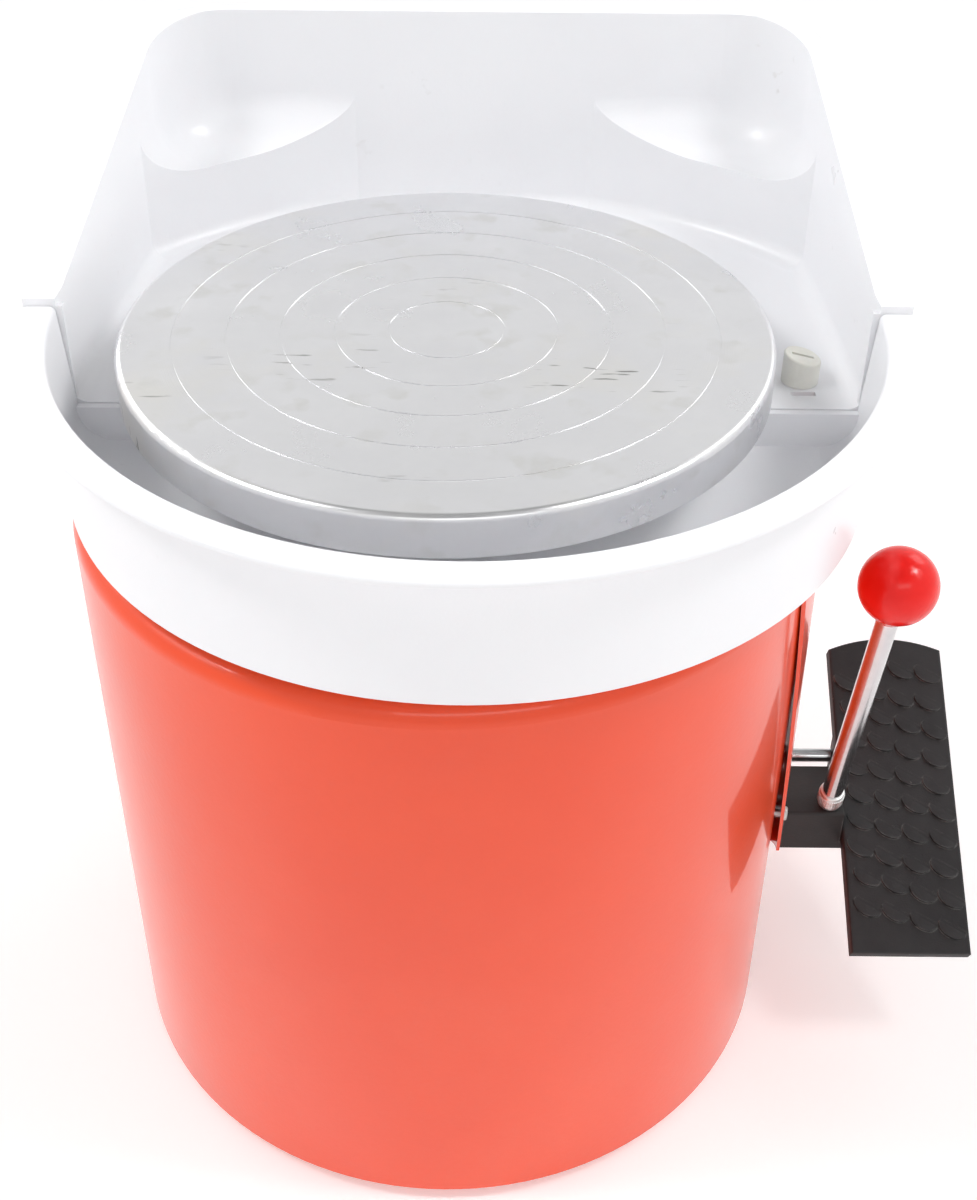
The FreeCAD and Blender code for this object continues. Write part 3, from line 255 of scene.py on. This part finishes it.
def gloss_red_paint():
    f = Finish("gloss_red_paint", Coat_Weight=0.55, Coat_Roughness=0.04, Specular_IOR_Level=0.4)
    uneven = f.group(UNEVEN, Cloud_Scale=7.0, Grain_Scale=420.0)
    dust = f.group(UNEVEN, Cloud_Scale=13.0, Grain_Scale=1500.0)
    sprayed = f.blend(uneven.outputs["Cloud"], (0.81, 0.052, 0.003, 1), (0.87, 0.066, 0.005, 1))
    dulled = f.math("MULTIPLY", f.span(dust.outputs["Cloud"], 0.0, 0.06, 0.5, 1.0), dust.outputs["Grain"])
    color = f.blend(dulled, sprayed, (0.80, 0.30, 0.24, 1))
    return f.wear(color, f.span(uneven.outputs["Cloud"], 0.28, 0.36),
                  f.bump(uneven.outputs["Grain"], 0.00010, 0.22))


RED_PAINT = gloss_red_paint()
give(RED_PAINT, "drum_front_shell", "drum_rear_shell", "side_cover", "deck_plate")


# ------------------------------------------------------------ switch panel at the back
# A panel of fine-grained black plastic is let into the back of the drum.
# It holds a mains inlet, a fuse holder and two rocker switches, and the power rocker is glossy red.

BLACK_PLASTIC = plain_finish("fine_grain_black", clouds=50.0, grain=2600.0,
                             darker=(0.018, 0.018, 0.019), lighter=(0.032, 0.032, 0.033),
                             rough=(0.38, 0.55), dents=(0.0001, 0.4), rough_by="Grain",
                             Specular_IOR_Level=0.4)
RED_PLASTIC = plain_finish("gloss_red_plastic", clouds=60.0, grain=900.0,
                           darker=(0.78, 0.008, 0.005), lighter=(0.86, 0.012, 0.008),
                           rough=(0.18, 0.27), dents=(0.00008, 0.2), Coat_Weight=0.15,
                           Specular_IOR_Level=0.3, Coat_Roughness=0.05, Subsurface_Weight=0.05,
                           Subsurface_Radius=(0.004, 0.001, 0.001))
give(BLACK_PLASTIC, "switch_panel", "power_inlet", "fuse_holder", "power_switch_frame",
     "direction_switch_frame", "direction_rocker", "speed_sensor")
give(RED_PLASTIC, "power_rocker")


# ------------------------------------------------------------ splash basin: two white mouldings
# The round front half and the tall square rear half are moulded in semi-gloss white plastic.
# They meet across the middle over a rubber seat, and two cream quarter-turn knobs latch the rear half.

def white_moulding():
    f = Finish("white_moulding", Subsurface_Weight=0.10, Subsurface_Radius=(0.006, 0.005, 0.005),
               Specular_IOR_Level=0.45)
    uneven = f.group(UNEVEN, Cloud_Scale=9.0, Grain_Scale=700.0)
    splash = f.group(UNEVEN, Cloud_Scale=16.0, Grain_Scale=190.0)
    clean = f.blend(uneven.outputs["Cloud"], (0.875, 0.876, 0.900, 1), (0.905, 0.906, 0.925, 1))
    specks = f.math("MULTIPLY", f.span(splash.outputs["Cloud"], 0.0, 1.0, 0.72, 0.90),
                    f.span(splash.outputs["Grain"], 0.0, 0.35, 0.80, 0.95))
    color = f.blend(specks, clean, (0.62, 0.60, 0.57, 1))
    return f.wear(color, f.span(uneven.outputs["Cloud"], 0.26, 0.38),
                  f.bump(uneven.outputs["Grain"], 0.00008, 0.2))


WHITE = white_moulding()
give(WHITE, "basin_front_half", "basin_rear_half")
CREAM = plain_finish("cream_moulding", clouds=70.0, grain=1200.0,
                     darker=(0.78, 0.77, 0.70), lighter=(0.86, 0.85, 0.79),
                     rough=(0.40, 0.52), dents=(0.0001, 0.3), Subsurface_Weight=0.1,
                     Subsurface_Radius=(0.004, 0.003, 0.002))
give(CREAM, "latch_knob_left", "latch_knob_right")


# ------------------------------------------------------------ wheel head: turned aluminium
# A thick aluminium plate, faced in a lathe, with five centring grooves and a small rounded edge.
# It is screwed to the hub of the drive, and clay and tools have smudged and scuffed its face.

def turned_aluminium():
    f = Finish("turned_aluminium", Metallic=1.0)
    parts = f.node("ShaderNodeSeparateXYZ", Vector=f.place)
    radius = f.math("SQRT", f.math("ADD", f.math("MULTIPLY", parts.outputs["X"], parts.outputs["X"]),
                                   f.math("MULTIPLY", parts.outputs["Y"], parts.outputs["Y"])))
    lathe = f.node("ShaderNodeTexNoise", Scale=1.0, Detail=3.0, Roughness=0.6)
    lathe.noise_dimensions = "1D"
    tool_marks_per_metre = 2600.0
    f.feed(lathe.inputs["W"], f.math("MULTIPLY", radius, tool_marks_per_metre))
    uneven = f.group(UNEVEN, Cloud_Scale=26.0, Grain_Scale=520.0)
    smudge = f.group(UNEVEN, Cloud_Scale=8.5, Grain_Scale=70.0)
    cool = f.blend(uneven.outputs["Cloud"], (0.81, 0.81, 0.825, 1), (0.875, 0.875, 0.885, 1))
    warm = f.blend(f.span(smudge.outputs["Cloud"], 0.0, 0.75, 0.55, 0.95), cool, (0.85, 0.835, 0.785, 1))
    wiped = f.math("MULTIPLY", f.span(smudge.outputs["Grain"], 0.0, 0.55, 0.55, 0.80),
                   f.span(uneven.outputs["Cloud"], 0.0, 1.0, 0.45, 0.80))
    color = f.blend(wiped, warm, (0.73, 0.725, 0.70, 1))
    scuff_turn, scuff_stretch = (0.0, 0.0, 0.22), (55.0, 420.0, 60.0)
    along = f.node("ShaderNodeMapping", Vector=f.place)
    along.inputs["Rotation"].default_value = scuff_turn
    along.inputs["Scale"].default_value = scuff_stretch
    scuff = f.node("ShaderNodeTexNoise", Vector=along.outputs["Vector"], Scale=1.0, Detail=2.0)
    where = f.node("ShaderNodeTexNoise", Vector=f.place, Scale=17.0, Detail=1.0)
    scuffs = f.math("MULTIPLY", f.span(scuff.outputs["Fac"], 0.0, 1.0, 0.63, 0.68),
                    f.span(where.outputs["Fac"], 0.0, 1.0, 0.63, 0.70))
    color = f.blend(scuffs, color, (0.36, 0.355, 0.34, 1))
    rough = f.math("ADD", f.span(uneven.outputs["Cloud"], 0.24, 0.33),
                   f.span(smudge.outputs["Cloud"], -0.03, 0.06))
    turning = f.bump(lathe.outputs["Fac"], 0.00006, 0.6)
    return f.wear(color, rough, f.bump(scuffs, -0.0001, 0.6, under=turning))


give(turned_aluminium(), "wheel_head")


# ------------------------------------------------------------ pedal arm and plate: steel in satin black
# A black steel bar comes out of the drum and carries the folded foot plate at its end.
# The paint is rubbed through to grey along the edges that shoes and hands touch.

def satin_black_paint():
    f = Finish("satin_black_paint", Specular_IOR_Level=0.25)
    uneven = f.group(UNEVEN, Cloud_Scale=30.0, Grain_Scale=900.0)
    rub = f.group(RUBBED, Grain_Scale=220.0, Amount=0.85)
    base = f.blend(uneven.outputs["Cloud"], (0.022, 0.021, 0.021, 1), (0.038, 0.036, 0.036, 1))
    color = f.blend(rub.outputs["Mask"], base, (0.19, 0.185, 0.18, 1))
    return f.wear(color, f.span(uneven.outputs["Cloud"], 0.34, 0.50),
                  f.bump(uneven.outputs["Grain"], 0.0001, 0.4))


BLACK_PAINT = satin_black_paint()
give(BLACK_PAINT, "motor_can", "pedal_plate", "pedal_arm")


# ------------------------------------------------------------ pedal tread: moulded rubber with raised scales
# One rubber moulding is pressed over the sloping foot plate and wraps its edges.
# Its back end is arched, and its face has rows of curved scales, each with a raised lip at the front.

def start_piece(name):
    """Names the primitive that was just added and opens it in edit mode with everything selected."""
    piece = bpy.context.object
    piece.name = name
    bpy.ops.object.mode_set(mode="EDIT")
    bpy.ops.mesh.select_all(action="SELECT")
    return piece


def pick(piece, kind, wanted):
    """Selects, in edit mode, only the faces, edges or vertices that a test accepts."""
    bpy.ops.mesh.select_all(action="DESELECT")
    bpy.ops.mesh.select_mode(type=kind)
    bpy.ops.object.mode_set(mode="OBJECT")
    mesh = piece.data
    for item in {"VERT": mesh.vertices, "EDGE": mesh.edges, "FACE": mesh.polygons}[kind]:
        item.select = wanted(item)
    bpy.ops.object.mode_set(mode="EDIT")


def end_piece(piece, body, material, smooth=30.0):
    """Leaves edit mode, bakes the place into the mesh, shades it and hands it to its body."""
    bpy.ops.mesh.select_all(action="SELECT")
    bpy.ops.mesh.normals_make_consistent(inside=False)
    bpy.ops.object.mode_set(mode="OBJECT")
    bpy.ops.object.transform_apply(location=True, rotation=True, scale=True)
    bpy.ops.object.shade_smooth_by_angle(angle=math.radians(smooth))
    piece.data.materials.clear()
    piece.data.materials.append(material)
    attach(piece, body)


def flat_box(node, pivot, tilt):
    """Lowest and highest corner of a CAD node, once turned back from its slope about the pivot."""
    level = Matrix.Rotation(-tilt, 3, "X")
    seen = [level @ (vertex.co - pivot) + pivot for vertex in nodes_of[node].data.vertices]
    return (Vector([min(point[i] for point in seen) for i in range(3)]),
            Vector([max(point[i] for point in seen) for i in range(3)]))


PEDAL_TILT = math.radians(29.0)
shaft_low, shaft_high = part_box("pedal_shaft")
PEDAL_PIVOT = Vector((0.0, (shaft_low[1] + shaft_high[1]) / 2, (shaft_low[2] + shaft_high[2]) / 2))


def tread_rubber():
    f = Finish("tread_rubber", Specular_IOR_Level=0.25)
    uneven = f.group(UNEVEN, Cloud_Scale=34.0, Grain_Scale=1300.0)
    rub = f.group(RUBBED, Grain_Scale=240.0, Amount=0.9)
    base = f.blend(uneven.outputs["Cloud"], (0.020, 0.019, 0.020, 1), (0.036, 0.035, 0.036, 1))
    worn = f.blend(rub.outputs["Mask"], base, (0.15, 0.145, 0.14, 1))
    dust = f.group(UNEVEN, Cloud_Scale=60.0, Grain_Scale=420.0)
    specks = f.math("MULTIPLY", f.span(dust.outputs["Cloud"], 0.0, 1.0, 0.78, 0.92),
                    f.span(dust.outputs["Grain"], 0.0, 0.8, 0.86, 0.98))
    color = f.blend(specks, worn, (0.42, 0.37, 0.34, 1))
    return f.wear(color, f.span(uneven.outputs["Cloud"], 0.46, 0.62),
                  f.bump(uneven.outputs["Grain"], 0.00015, 0.4))


NEARLY = 1e-5    # allowed for rounding where a place is compared


def tread_pad(low, high):
    """Arched rubber slab, hollow underneath where the plate sits."""
    scale_height, arch, wrap, skin, rounding = 0.0009, 0.0058, 0.0015, 0.0046, 0.0013
    arch_steps = 8
    size = high - low
    face_height = size.z - scale_height
    back = (size.y - arch) / 2
    bpy.ops.object.select_all(action="DESELECT")
    bpy.ops.mesh.primitive_grid_add(x_subdivisions=2 * arch_steps, y_subdivisions=1, size=1.0,
                                    location=((low.x + high.x) / 2, (low.y + high.y - arch) / 2, low.z))
    pad = start_piece("pedal_tread_rubber")
    bpy.ops.transform.resize(value=(size.x, size.y - arch, 1.0))
    bpy.ops.mesh.extrude_region_move(TRANSFORM_OT_translate={"value": (0.0, 0.0, face_height)})
    for step in range(arch_steps):
        reach = size.x / 2 * (1.0 - (step + 1) / arch_steps) + NEARLY
        rise = arch * ((1.0 - step / arch_steps) ** 2 - (1.0 - (step + 1) / arch_steps) ** 2)
        pick(pad, "VERT", lambda v: v.co.y > back - NEARLY and abs(v.co.x) < reach)
        bpy.ops.transform.translate(value=(0.0, rise, 0.0))
    pick(pad, "FACE", lambda face: face.normal.z < -0.9)
    bpy.ops.mesh.inset(thickness=wrap, depth=0.0)
    bpy.ops.mesh.extrude_region_move(TRANSFORM_OT_translate={"value": (0.0, 0.0, face_height - skin)})

    def round_the_face(edge):
        """True on the straight sides, front and arched back of the pad's upper face."""
        ends = [pad.data.vertices[i].co for i in edge.vertices]
        return all(end.z > face_height - NEARLY
                   and (abs(abs(end.x) - size.x / 2) < NEARLY or abs(end.y) > back - NEARLY)
                   for end in ends)

    pick(pad, "EDGE", round_the_face)
    bpy.ops.mesh.bevel(offset=rounding, segments=3, affect="EDGES")
    return pad


def tread_scales(low, high):
    """Rows of raised scales, modelled once and copied along the face."""
    scale_radius, lip, tail, tail_sunk, scale_sunk = 0.0058, 0.0019, 0.0024, 0.0001, 0.0012
    stretch, turn, rounding = (1.18, 0.80, 1.0), math.radians(30.0), 0.0004
    rows, columns = range(-1, 12), 4
    pitch = Vector((0.0128, 0.0138, 0.0))
    first_x, first_y, slant = 0.0088, 0.0125, 0.0031
    sway_x, sway_y = 0.0012, 0.0008
    front_margin, back_margin = 0.008, 0.014
    bpy.ops.object.select_all(action="DESELECT")
    bpy.ops.mesh.primitive_cylinder_add(vertices=20, radius=scale_radius, depth=2 * lip,
                                        location=(0.0, 0.0, 0.0))
    scales = start_piece("tread_scales")
    slope = (lip + tail_sunk) / (scale_radius + tail)
    bpy.ops.mesh.bisect(plane_co=(0.0, -scale_radius, lip), plane_no=(0.0, slope, 1.0), use_fill=True,
                        clear_outer=True)
    bpy.ops.mesh.select_all(action="SELECT")
    bpy.ops.mesh.bisect(plane_co=(0.0, tail, 0.0), plane_no=(0.0, 1.0, 0.0), use_fill=True, clear_outer=True)

    def along_the_lip(edge):
        """True on the curved upper edge at the front of the scale."""
        first, second = (scales.data.vertices[i].co for i in edge.vertices)
        return (first.y < 0.0 and second.y < 0.0 and first.z > 0.0 and second.z > 0.0
                and abs(first.xy.length - scale_radius) < NEARLY
                and abs(second.xy.length - scale_radius) < NEARLY
                and abs(first.z - second.z) < lip * 0.5)

    pick(scales, "EDGE", along_the_lip)
    bpy.ops.mesh.bevel(offset=rounding, segments=2, affect="EDGES")
    bpy.ops.mesh.select_all(action="SELECT")
    bpy.ops.transform.resize(value=stretch, center_override=(0.0, 0.0, 0.0))
    bpy.ops.transform.rotate(value=turn, orient_axis="Z", center_override=(0.0, 0.0, 0.0))
    places = []
    for row in rows:
        for column in range(columns):
            x = low.x + first_x + pitch.x * column + sway_x * math.sin(2.1 * row)
            y = (low.y + first_y + pitch.y * row + slant * (columns - 1 - column)
                 + sway_y * math.sin(1.7 * column + row))
            if low.y + front_margin < y < high.y - back_margin:
                places.append(Vector((x, y, high.z - scale_sunk)))
    bpy.ops.transform.translate(value=places[0])
    for before, after in zip(places, places[1:]):
        bpy.ops.mesh.duplicate_move(TRANSFORM_OT_translate={"value": after - before})
    bpy.ops.object.mode_set(mode="OBJECT")
    return scales


tread_low, tread_high = flat_box("pedal_tread", PEDAL_PIVOT, PEDAL_TILT)
pad = tread_pad(tread_low, tread_high)
bpy.ops.object.mode_set(mode="OBJECT")
scales = tread_scales(tread_low, tread_high)
bpy.ops.object.select_all(action="DESELECT")
scales.select_set(True)
pad.select_set(True)
bpy.context.view_layer.objects.active = pad
bpy.ops.object.join()
bpy.ops.object.mode_set(mode="EDIT")
bpy.ops.mesh.select_all(action="SELECT")
bpy.ops.transform.rotate(value=-PEDAL_TILT, orient_axis="X", center_override=PEDAL_PIVOT)
end_piece(pad, "pedal", tread_rubber(), smooth=35.0)
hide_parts("pedal_tread")


# ------------------------------------------------------------ hand lever: chromed rod and ribbed lock nut
# The rod screws into the arm, a ribbed nut locks it, and a short steadying rod lies beside the arm.
# Both rods are polished chrome. The nut is plated and slightly duller.

def plated_nut():
    f = Finish("plated_nut", Metallic=1.0)
    uneven = f.group(UNEVEN, Cloud_Scale=120.0, Grain_Scale=2400.0)
    rub = f.group(RUBBED, Grain_Scale=700.0, Amount=0.6)
    base = f.blend(uneven.outputs["Cloud"], (0.80, 0.79, 0.78, 1), (0.90, 0.89, 0.88, 1))
    color = f.blend(rub.outputs["Mask"], base, (0.92, 0.91, 0.90, 1))
    return f.wear(color, f.span(uneven.outputs["Cloud"], 0.32, 0.46),
                  f.bump(uneven.outputs["Grain"], 0.00004, 0.3))


def middle_of(node):
    low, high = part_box(node)
    return (Vector(low) + Vector(high)) / 2


def ribbed_nut(middle, direction, radius, length):
    """Lock nut with pressed ribs round it and a plain ring at each end."""
    rib_count, rib_height, rib_gap, end_rounding = 36, 0.0004, 0.00022, 0.0007
    ring_start = 0.30 * length
    bpy.ops.object.select_all(action="DESELECT")
    bpy.ops.mesh.primitive_cylinder_add(vertices=rib_count, radius=radius - rib_height, depth=length,
                                        location=middle)
    nut = start_piece("lever_lock_nut")
    for height in (-ring_start, ring_start):
        bpy.ops.mesh.select_all(action="SELECT")
        bpy.ops.mesh.bisect(plane_co=middle + Vector((0.0, 0.0, height)), plane_no=(0.0, 0.0, 1.0))
    pick(nut, "FACE", lambda face: abs(face.normal.z) < 0.1 and abs(face.center.z) < ring_start)
    bpy.ops.mesh.inset(thickness=rib_gap, depth=0.0, use_individual=True)
    bpy.ops.transform.shrink_fatten(value=rib_height)
    end_height = length / 2 - NEARLY
    pick(nut, "EDGE", lambda e: all(abs(nut.data.vertices[i].co.z) > end_height for i in e.vertices))
    bpy.ops.mesh.bevel(offset=end_rounding, segments=3, affect="EDGES")
    bpy.ops.mesh.select_all(action="SELECT")
    lean = math.atan2(-direction.y, direction.z)
    bpy.ops.transform.rotate(value=-lean, orient_axis="X", center_override=middle)
    return nut


CHROME = plain_finish("polished_chrome", clouds=80.0, grain=1500.0,
                      darker=(0.62, 0.62, 0.63), lighter=(0.74, 0.74, 0.75),
                      rough=(0.14, 0.24), dents=(0.00003, 0.2), Metallic=1.0)
give(CHROME, "steady_rod", "lever_rod")
nut_low, nut_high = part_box("lever_collar")
nut_middle = middle_of("lever_collar")
lever_line = (middle_of("lever_knob") - nut_middle).normalized()
nut_clearance, nut_length = 0.0005, 0.010
nut_radius = (nut_high[0] - nut_low[0]) / 2 - nut_clearance
nut = ribbed_nut(nut_middle, lever_line, nut_radius, nut_length)
end_piece(nut, "pedal", plated_nut(), smooth=40.0)
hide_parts("lever_collar")


# ------------------------------------------------------------ lever knob: moulded ball
# The glossy red ball has a tapered neck and is screwed over the rod's end.
# It is of the same moulded red plastic as the power rocker.

give(RED_PLASTIC, "lever_knob")


# ------------------------------------------------------------ studio
# Plain pale floor, soft light from above and both sides, and the camera over the potter's place.
# The floor glows faintly so that it stays pale, and two narrow lamps light the inside of the basin.

def studio_floor():
    """Wide white floor that the machine stands on."""
    bpy.ops.object.select_all(action="DESELECT")
    bpy.ops.mesh.primitive_plane_add(size=12.0, location=(0.0, 0.0, 0.0))
    floor = bpy.context.object
    floor.name = "studio_floor"
    f = Finish("studio_floor", Roughness=0.9, Emission_Color=(1.0, 1.0, 1.0, 1), Emission_Strength=0.26)
    f.wear((0.97, 0.97, 0.97, 1))
    floor.data.materials.append(f.material)


def soft_light(name, place, target, width, height, power, spread=180.0):
    """Rectangular lamp turned to face a place on the machine."""
    data = bpy.data.lights.new(name, "AREA")
    data.shape = "RECTANGLE"
    data.size = width
    data.size_y = height
    data.energy = power
    data.spread = math.radians(spread)
    light = bpy.data.objects.new(name, data)
    light.location = place
    light.rotation_euler = (Vector(target) - Vector(place)).to_track_quat("-Z", "Y").to_euler()
    bpy.context.scene.collection.objects.link(light)


studio_floor()
# Each light: where it is, what it faces, its width and height in metres, watts, and spread in degrees.
soft_light("key", (0.25, -1.7, 1.5), (0, 0, 0.35), 1.4, 0.4, 3.0)
soft_light("overhead_right", (1.25, -0.25, 1.75), (0, 0, 0.35), 0.8, 1.0, 3.2)
soft_light("overhead_left", (-1.25, -0.1, 1.75), (0, 0, 0.35), 0.8, 1.0, 2.4)
soft_light("back_right", (1.4, 1.2, 1.5), (0, -0.1, 0.32), 0.9, 0.9, 5.0)
soft_light("back_left", (-1.4, 1.2, 1.5), (0, -0.1, 0.32), 0.9, 0.9, 5.0)
soft_light("basin_lamp_right", (0.95, -0.15, 1.5), (0, -0.02, 0.35), 0.35, 0.35, 0.42, 40.0)
soft_light("basin_lamp_left", (-0.95, -0.15, 1.5), (0, -0.02, 0.35), 0.35, 0.35, 0.42, 40.0)


def studio_walls():
    """White walls all round and a dimmer ceiling, as seen in the rounded edge of the head."""
    world = bpy.data.worlds.new("studio")
    world.use_nodes = True
    tree = world.node_tree
    toward = tree.nodes.new("ShaderNodeTexCoord")
    split = tree.nodes.new("ShaderNodeSeparateXYZ")
    ceiling = tree.nodes.new("ShaderNodeMapRange")
    ceiling.inputs["From Min"].default_value = 0.66
    ceiling.inputs["From Max"].default_value = 0.80
    ceiling.inputs["To Min"].default_value = 0.825
    ceiling.inputs["To Max"].default_value = 0.32
    background = tree.nodes["Background"]
    background.inputs["Color"].default_value = (1.0, 1.0, 1.0, 1.0)
    tree.links.new(toward.outputs["Generated"], split.inputs["Vector"])
    tree.links.new(split.outputs["Z"], ceiling.inputs["Value"])
    tree.links.new(ceiling.outputs["Result"], background.inputs["Strength"])
    bpy.context.scene.world = world


studio_walls()
bpy.context.scene.view_settings.view_transform = "Standard"

camera_data = bpy.data.cameras.new("camera")
camera_data.lens = 50.1
camera_data.clip_start = 0.05
camera = bpy.data.objects.new("camera", camera_data)
camera_place = (0.0176, -0.5658, 0.6547)
turned, looking_down, rolled = 0.07, 37.82, 0.509    # degrees
camera.matrix_world = (Matrix.Translation(camera_place)
                       @ Matrix.Rotation(math.radians(turned), 4, "Z")
                       @ Matrix.Rotation(math.radians(90.0 - looking_down), 4, "X")
                       @ Matrix.Rotation(math.radians(rolled), 4, "Z"))
bpy.context.scene.collection.objects.link(camera)
bpy.context.scene.camera = camera
